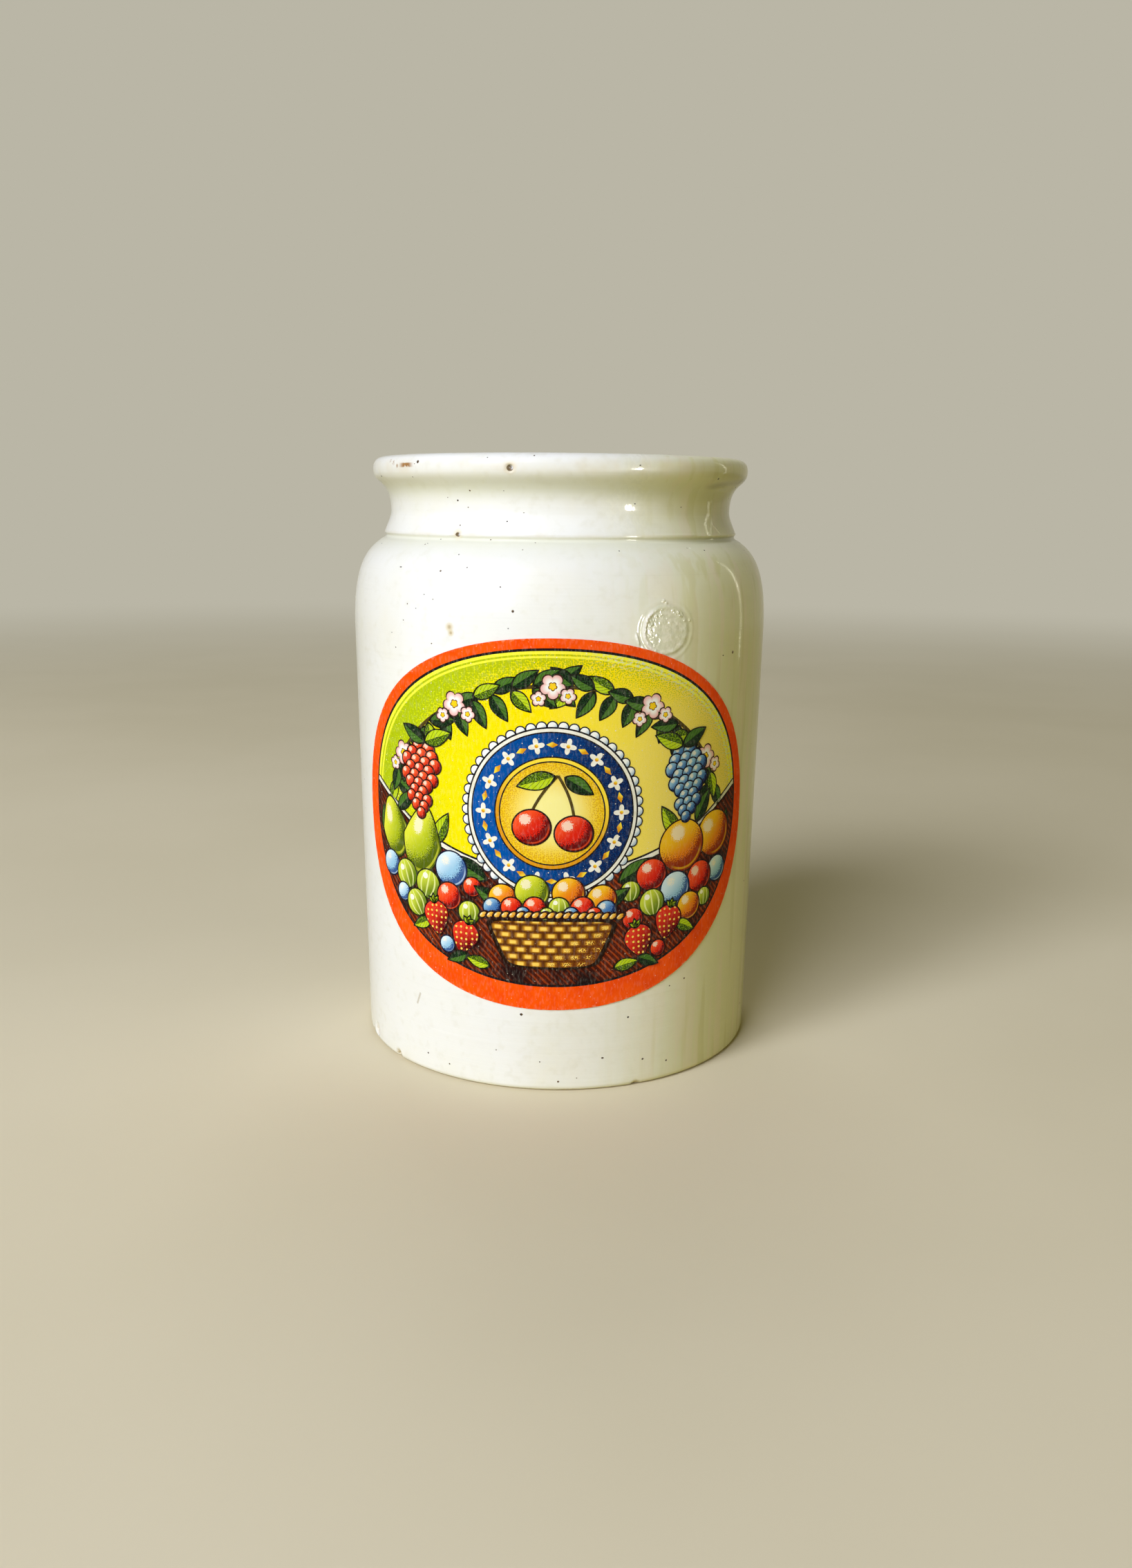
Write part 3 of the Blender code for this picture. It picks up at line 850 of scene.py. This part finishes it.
# Cherries fill the medallion: a pair on forked stalks with two leaves. All the round fruit is
# printed the same way, as a flat colour, stippled shade on the right and a bare highlight.
def fruit_finish(name, light, body, shade, outline=(40, 16, 14), bloom=0.0):
    """A round fruit's colours, lit from the upper left."""
    ink = Ink(name, body)
    lit = ink.up * 0.62 - ink.across * 0.55
    dim = ink.ease(ink.reach * 0.75 - lit * 0.9, 0.05, 1.15)
    ink.paint(ink.ease(lit + ink.chance * 0.3, -0.1, 0.75), light)
    ink.paint(ink.ease(dim, 0.45, 0.95), shade)
    ink.paint(ink.dots(0.36, dim * 1.05), shade)
    glow = ink.ease(0.44 - ink.gleam(-0.32, 0.42), 0.02, 0.34) * (1.6 - bloom)
    ink.paint(ink.dots(0.30, glow) * 0.7, (252, 240, 214))
    edge_light = (ink.reach > 0.80) * (ink.reach < 0.88) * ink.ease(0 - lit, 0.25, 0.6)
    ink.paint(edge_light * 0.5, light)
    ink.outline(1, outline)
    return ink.worn(0.2)


cherry_ink = fruit_finish("cherry_ink", (250, 84, 34), (220, 34, 16), (104, 10, 12))
cherries = Sheet("cherries_print", [twig_ink, lime_leaf, dark_leaf, cherry_ink])
for fruit, bend in (((-4.3, -3.0), -2.2), ((4.6, -4.3), 2.6)):
    top = ROUNDEL + Vector((fruit[0], fruit[1] + 3.2))
    fork = ROUNDEL + Vector((1.2, 8.2))

    def stalk(share, top=top, fork=fork, bend=bend):
        """The line of a stalk, from the fruit to the fork."""
        return top.lerp(fork, share) + Vector((bend * share * (1 - share), 0))

    cherries.strip(stalk, 0.6, layer=21, steps=16)
    cherries.disc(ROUNDEL + Vector(fruit), (4.3, 4.05), layer=22 + fruit[0] * 0.1, ink=3, sides=40)
for middle, size, turn, layer, ink in (((-3.4, 6.9), (4.4, 2.0), 196, 24, 1),
                                       ((5.6, 6.0), (3.7, 1.8), -32, 25, 2)):
    cherries.disc(ROUNDEL + Vector(middle), size, turn, layer, ink, leaf, sides=32)
cherries.lay()

# Currants hang at both sides of the roundel: strings of small round berries, red on the left
# and pale on the right, largest at the top, each string below a pair of leaves.
redcurrant = fruit_finish("redcurrant_ink", (244, 96, 44), (214, 44, 20), (120, 20, 14))
bilberry = fruit_finish("bilberry_ink", (150, 196, 222), (66, 116, 176), (16, 34, 84),
                        (14, 16, 40))
for side, name, berry in ((-1, "redcurrant_print", redcurrant), (1, "bilberry_print", bilberry)):
    sprig = Sheet(name, [twig_ink, dark_leaf, lime_leaf, berry])

    def drop(share, side=side):
        """The line of a string of currants, from its top."""
        return side * (29.0 + 2.2 * sin(share * 2.4)), 17.5 - 16.5 * share

    sprig.strip(drop, 0.5, layer=10, steps=20)
    for number, berries in enumerate((2, 3, 4, 3, 4, 3, 2, 3, 2, 1)):
        x, y = drop(0.12 + 0.096 * number)
        size = 1.95 - 0.05 * number
        for place in range(berries):
            off = place - (berries - 1) / 2
            sprig.disc((x + off * size * 1.45, y + off * side * 0.3), size,
                       layer=11 + number * 0.8 + place * 0.2, ink=3, sides=20)
    x, y = drop(0.0)
    sprig.disc((x - side * 3.4, y + 0.9), (4.0, 1.9), 90 + side * 70, layer=20, ink=2, shape=leaf)
    sprig.disc((x + side * 3.2, y + 1.2), (3.8, 1.8), 90 - side * 62, layer=21, ink=1, shape=leaf)
    sprig.lay()

# Basket: golden wicker in the middle of the dark ground, woven over and under in rows below a
# plaited rim. Cherries and small berries are heaped in it.
wicker = Ink("wicker_ink", (92, 46, 10))
row = wicker.y * 0.62
column = wicker.x * 0.30 + row.floor() * 0.5
weave = (wicker.ease(column.fold(0.5) * 2, 0.05, 0.75)
         * wicker.ease(row.fold(0.5) * 2, 0.05, 0.7))
wicker.paint(weave, (226, 158, 40))
wicker.paint(wicker.ease(weave, 0.7, 1.0), (250, 208, 90))
dusk = wicker.ease(wicker.across - wicker.up * 0.5, -0.2, 1.2) * 0.9
wicker.paint(wicker.dots(0.36, dusk), (120, 58, 14))
wicker.outline(1.3, (36, 18, 8))
wicker_ink = wicker.worn(0.3)
plait = fruit_finish("plait_ink", (252, 214, 96), (228, 160, 44), (124, 62, 14))


def tub(x, y):
    """A basket's body, wider at the top, from a disc."""
    wide, tall = oval(x, y, 9)
    return wide * (0.84 + 0.16 * tall), tall * (0.93 + 0.07 * (1 - wide * wide))


pear_ink = fruit_finish("pear_ink", (226, 226, 60), (170, 184, 24), (84, 100, 14), (34, 34, 10))
apricot_ink = fruit_finish("apricot_ink", (252, 196, 30), (236, 126, 18), (150, 50, 14),
                           (50, 20, 10))
damson_ink = fruit_finish("pale_damson_ink", (214, 234, 244), (150, 196, 222), (50, 84, 140),
                          (16, 20, 46), 0.6)
seeded = Ink("strawberry_ink", (150, 18, 16))
slant = seeded.up * 0.6 - seeded.across * 0.5
seeded.paint(seeded.ease(slant, -0.5, 0.6), (230, 52, 28))
seeded.paint(seeded.dots(0.36, seeded.ease(0 - slant, -0.1, 0.8)), (84, 10, 14))
seeded.paint((seeded.cells(0.78, 0.25) < 0.20) * (seeded.reach < 0.9), (252, 214, 90))
seeded.outline(1, (44, 12, 12))
strawberry_ink = seeded.worn(0.2)
striped = Ink("gooseberry_ink", (96, 122, 18))
slant = striped.up * 0.6 - striped.across * 0.5
striped.paint(striped.ease(slant, -0.6, 0.6), (206, 216, 60))
bowed = striped.across / (1.35 - striped.up * striped.up)
striped.paint((bowed.fold(0.2) < 0.045) * 0.8, (232, 236, 150))
striped.paint(striped.gleam(-0.3, 0.45) < 0.2, (250, 248, 220))
striped.outline(1, (30, 34, 10))
gooseberry_ink = striped.worn(0.2)

basket = Sheet("basket_print", [wicker_ink, plait, cherry_ink, bilberry, dark_leaf, apricot_ink,
                                pear_ink, gooseberry_ink])
basket.disc((0, -25.3), (15.0, 5.6), layer=26, shape=tub, sides=96)
TWISTS = 18
for number in range(TWISTS + 1):
    share = number / TWISTS * 2 - 1
    basket.disc((share * 15.0, -19.4 + 0.7 * (1 - share * share)), (1.45, 0.85), turn=32,
                layer=28 + number * 0.1, ink=1, sides=18)
HEAP = [
    (-10.6, -15.4, 3.4, 5), (10.8, -15.4, 3.5, 5), (-4.2, -13.6, 3.9, 6), (3.6, -13.8, 3.7, 5),
    (-12.9, -17.6, 2.3, 3), (-8.6, -17.4, 2.6, 2), (-3.6, -17.2, 2.7, 2), (1.6, -17, 2.5, 7),
    (6.6, -17.2, 2.8, 2), (11.8, -17.8, 2.4, 3), (-6.1, -18.6, 1.8, 3), (-1, -18.6, 1.8, 7),
    (4.2, -18.6, 1.9, 3), (9.2, -18.7, 1.9, 2)]
for number, (x, y, size, ink) in enumerate(HEAP):
    basket.disc((x, y), size, layer=22 + number * 0.3, ink=ink)
basket.disc((-13.6, -15.2), (4.2, 1.8), turn=150, layer=21.5, ink=4, shape=leaf)
basket.disc((13.6, -15.3), (4.2, 1.8), turn=32, layer=21.5, ink=4, shape=leaf)
basket.lay()


# Fruit is heaped on both sides of the basket: pears and gooseberries on the left, apricots on
# the right, strawberries low down on both sides, with leaves behind and between.
def pear(x, y):
    """A pear with its narrow end up, from a disc."""
    return x * (1 - 0.42 * max(0, y) ** 0.8 - 0.10 * max(0, -y)), y


def strawberry(x, y):
    """A strawberry with its point down, from a disc."""
    return x * (0.86 + 0.30 * y), y * (0.92 - 0.12 * abs(x))


# Each row is a place, the two half sizes, a turn in degrees and an ink.
FRUIT_INKS = [dark_leaf, lime_leaf, pear_ink, apricot_ink, damson_ink, strawberry_ink,
              gooseberry_ink, cherry_ink]
SHAPES = {0: leaf, 1: leaf, 2: pear, 5: strawberry}
LEFT_HEAP = [
    (-43.6, -3, 4.4, 1.9, 100, 0), (-18.6, -9.4, 5.2, 2.2, 152, 0), (-25.2, -1.6, 4.4, 1.9, 62, 1),
    (-35.4, 3.4, 4, 1.7, 40, 0), (-40, -3.4, 5, 7.2, 14, 2), (-30.8, -5, 5.9, 8.3, -10, 2),
    (-22.8, -10.2, 4.2, 4.2, 0, 4), (-41.4, -12, 3.1, 3.1, 0, 4), (-17.6, -13.6, 2.4, 2.4, 0, 7),
    (-35.8, -13.4, 3.5, 3.5, 20, 6), (-29.2, -14.6, 3.6, 3.5, -15, 6),
    (-23.4, -16.4, 3.3, 3.3, 0, 7), (-37, -17.8, 2.3, 2.3, 0, 4), (-32.6, -19.4, 3.3, 3.3, 30, 6),
    (-18.4, -19.4, 2.8, 2.8, 0, 6), (-31, -23.8, 3.4, 1.5, 205, 1),
    (-26.8, -21.8, 3.9, 4.6, 10, 5), (-19.6, -25.2, 3.8, 4.5, -16, 5),
    (-24, -27.4, 2.1, 2.1, 0, 4), (-21.4, -30, 3, 1.4, 202, 0), (-16.4, -30.3, 3.2, 1.5, 166, 1)]
RIGHT_HEAP = [
    (43.6, -3, 4.4, 1.9, 80, 0), (18.8, -9.4, 5.2, 2.2, 28, 0), (26.4, 0.6, 4.4, 1.9, 122, 1),
    (35.6, 3.2, 4.2, 1.8, 60, 0), (39.8, -3.8, 5.6, 5.4, 10, 3), (30, -5.2, 6.3, 6.1, -14, 3),
    (22.2, -10.8, 3.9, 3.8, 0, 7), (41.2, -12.2, 3.3, 3.2, 0, 4), (17.2, -14, 2.5, 2.5, 0, 6),
    (35.4, -13, 3.9, 3.8, 8, 7), (28.4, -14.6, 4.1, 4, 0, 4), (22.4, -17, 3.2, 3.2, 10, 6),
    (37, -17.9, 2.3, 2.3, 0, 6), (32.4, -19.2, 3.5, 3.4, 0, 3), (17.9, -20.2, 2.6, 2.6, 0, 7),
    (31.4, -23.6, 3.4, 1.5, -25, 1), (26.6, -22, 3.9, 4.6, -12, 5), (19.5, -25.4, 3.8, 4.5, 14, 5),
    (24.2, -27.6, 2.1, 2.1, 0, 7), (21.8, -30.1, 3, 1.4, -22, 0), (16.6, -30.4, 3.2, 1.5, 12, 1)]
for name, heap in (("left_fruit_print", LEFT_HEAP), ("right_fruit_print", RIGHT_HEAP)):
    group = Sheet(name, FRUIT_INKS)
    for number, (x, y, wide, tall, turn, ink) in enumerate(heap):
        layer = 8 + number * 0.8
        form = SHAPES.get(ink, lambda x, y: (x, y))
        group.disc((x, y), (wide, tall), turn=turn, layer=layer, ink=ink, shape=form, sides=36)
        if form is strawberry:
            for spread in (-50, 0, 50):
                stem = Matrix.Rotation(radians(turn), 2) @ Vector((0, tall * 0.78))
                lean = Matrix.Rotation(radians(turn + spread), 2) @ Vector((0, 0.7))
                tip = Vector((x, y)) + stem + lean
                group.disc(tip, (1.35, 0.7), turn=turn + spread + 90, layer=layer + 0.3, ink=1,
                           shape=leaf, sides=16)
    group.lay()

# The jar stands on pale paper that runs off into an even pale room, in soft light from three
# lamps at the front left and a dim one behind. On the right are a weak warm fill and three
# small lamps that only shine in the glaze.
PALE = colour(186, 182, 166)
DIM_AIR, DIMNESS = (0.98, 0.95, 0.26, 1), 0.08
sheet_of_paper = bmesh.new()
bmesh.ops.create_circle(sheet_of_paper, cap_ends=True, segments=64, radius=8)
table = finish_shape("paper_floor", sheet_of_paper)
floor = Finish("pale_paper", (231, 219, 189), Roughness=0.7, Specular_IOR_Level=0.0,
               Emission_Strength=1.0)
floor.paint(floor.patches(6, 3, 0.3, 0.7), (226, 214, 183))
bounced = floor.node("ShaderNodeLightPath", {}, {}, "Is Diffuse Ray")
floor.paint(bounced, (203, 190, 104))
across, back, _ = floor.parts(floor.place)
far_off = floor.ease((across * across + back * back) ** 0.5, 0.45, 1.5)
floor.paint(far_off, (0, 0, 0))
haze = floor.mix(bounced, PALE, [channel * DIMNESS for channel in DIM_AIR])
table.data.materials.append(floor.feed(
    Base_Color=floor.chip, Emission_Color=floor.mix(far_off, colour(0, 0, 0), haze)))


def softbox(name, place, aim, width, height, power, tint, lights=True, shines=True):
    """A flat studio lamp, turned to face a point. It lights the glaze, shines in it, or both."""
    lamp = bpy.data.lights.new(name, "AREA")
    lamp.shape = "RECTANGLE"
    lamp.size, lamp.size_y = width, height
    lamp.energy, lamp.color = power, tint
    box = stand(name, lamp)
    box.location = place
    box.rotation_euler = (Vector(aim) - Vector(place)).to_track_quat("-Z", "Y").to_euler()
    box.visible_camera, box.visible_diffuse, box.visible_glossy = False, lights, shines


MIDDLE = (0, 0, 0.07)
DAYLIGHT = (0.81, 0.845, 1.0)
softbox("window", (-0.84, -1.39, 0.95), MIDDLE, 1.10, 1.5, 31.0, DAYLIGHT, shines=False)
softbox("window_gloss", (-0.99, -1.29, 0.95), MIDDLE, 1.10, 1.5, 8.0, DAYLIGHT)
softbox("pane", (-1.00, -1.00, 0.95), MIDDLE, 0.42, 0.55, 7.4, (0.80, 0.86, 1.0), shines=False)
softbox("fill", (1.1, -0.5, 0.5), MIDDLE, 0.6, 0.6, 0.6, (1.0, 0.90, 0.10))
softbox("back", (-0.10, 1.10, 1.45), MIDDLE, 0.8, 0.5, 4.0, (0.94, 0.95, 1.0), shines=False)
softbox("glint", (0.432, -0.417, 0.06), (0, 0, 0.10), 0.06, 0.09, 1.5, (1.0, 0.97, 0.88),
        lights=False)
softbox("strip", (0.475, 0.218, 0.22), (0.04, -0.02, 0.22), 0.006, 0.38, 0.050,
        (1.0, 0.96, 0.74), lights=False)
softbox("strip_top", (0.475, 0.214, 0.24), (0.04, -0.02, 0.24), 0.008, 0.16, 0.020,
        (1.0, 0.96, 0.78), lights=False)

world = bpy.data.worlds.new("studio")
world.use_nodes = True
nodes, joints = world.node_tree.nodes, world.node_tree.links
air, seen_air = nodes["Background"], nodes.new("ShaderNodeBackground")
rays, either = nodes.new("ShaderNodeLightPath"), nodes.new("ShaderNodeMix")
room = nodes.new("ShaderNodeMixShader")
air.inputs["Color"].default_value = DIM_AIR
air.inputs["Strength"].default_value = DIMNESS
seen_air.inputs["Color"].default_value = PALE
either.inputs["B"].default_value = 1.0
joints.new(rays.outputs["Is Camera Ray"], either.inputs["Factor"])
joints.new(rays.outputs["Is Glossy Ray"], either.inputs["A"])
joints.new(either.outputs["Result"], room.inputs[0])
joints.new(air.outputs[0], room.inputs[1])
joints.new(seen_air.outputs[0], room.inputs[2])
joints.new(room.outputs[0], nodes["World Output"].inputs["Surface"])
bpy.context.scene.world = world
bpy.context.scene.view_settings.view_transform = "Standard"

lens = bpy.data.cameras.new("camera")
lens.sensor_fit = "VERTICAL"
lens.sensor_height = 36
lens.lens = 30.16
lens.clip_start = 0.01
camera = stand("camera", lens)
facing = Matrix.Rotation(radians(1.17), 4, "Z") @ Matrix.Rotation(radians(90 - 12.017), 4, "X")
camera.matrix_world = (Matrix.Translation((0.00835, -0.31573, 0.12668)) @ facing
                       @ Matrix.Rotation(radians(0.5145), 4, "Z"))
bpy.context.scene.camera = camera
